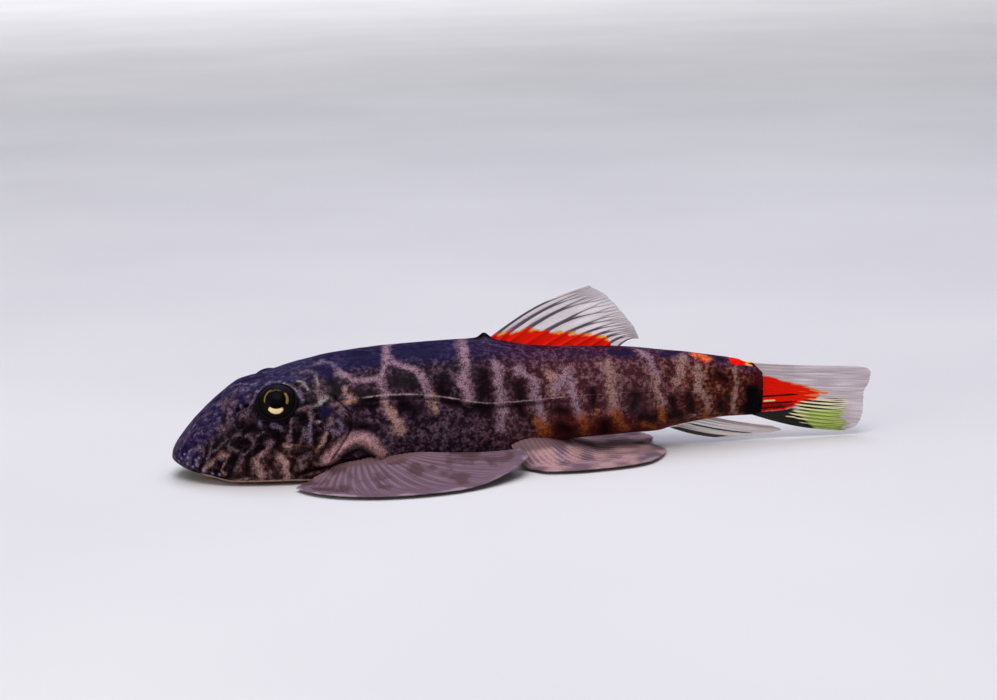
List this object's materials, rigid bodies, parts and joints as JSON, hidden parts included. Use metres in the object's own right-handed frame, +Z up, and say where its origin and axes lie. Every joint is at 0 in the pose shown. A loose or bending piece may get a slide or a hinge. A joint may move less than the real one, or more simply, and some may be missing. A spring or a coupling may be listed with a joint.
{
  "type": "gastromyzon hillstream loach model",
  "caption": "Still life-size hillstream loach resting on its flat belly and spread paired fins, with raised fin rays, a low broad head and a banded body.",
  "frame": {"origin": "on the floor under the middle of the fish's box", "axes": "+X from the snout to the tail, +Y to the fish's right side, +Z up from the floor"},
  "size_m": [0.0636, 0.0266, 0.015],
  "materials": {
    "skin": "moist, finely scaled, dark brown and navy with pale bars",
    "paired_fin": "moist, mauve grey with pale rays",
    "median_fin": "moist, whitish and translucent with dark rays and red and green areas",
    "eye": "clear and wet, black with a gold ring"
  },
  "bodies": {
    "root": {"head": "skin", "trunk": "skin", "tail_stalk": "skin", "left_eye": "eye", "right_eye": "eye", "left_pectoral_fin": "paired_fin", "right_pectoral_fin": "paired_fin", "left_pelvic_fin": "paired_fin", "right_pelvic_fin": "paired_fin", "dorsal_fin": "median_fin", "anal_fin": "median_fin", "caudal_fin": "median_fin"}
  },
  "joints": []
}
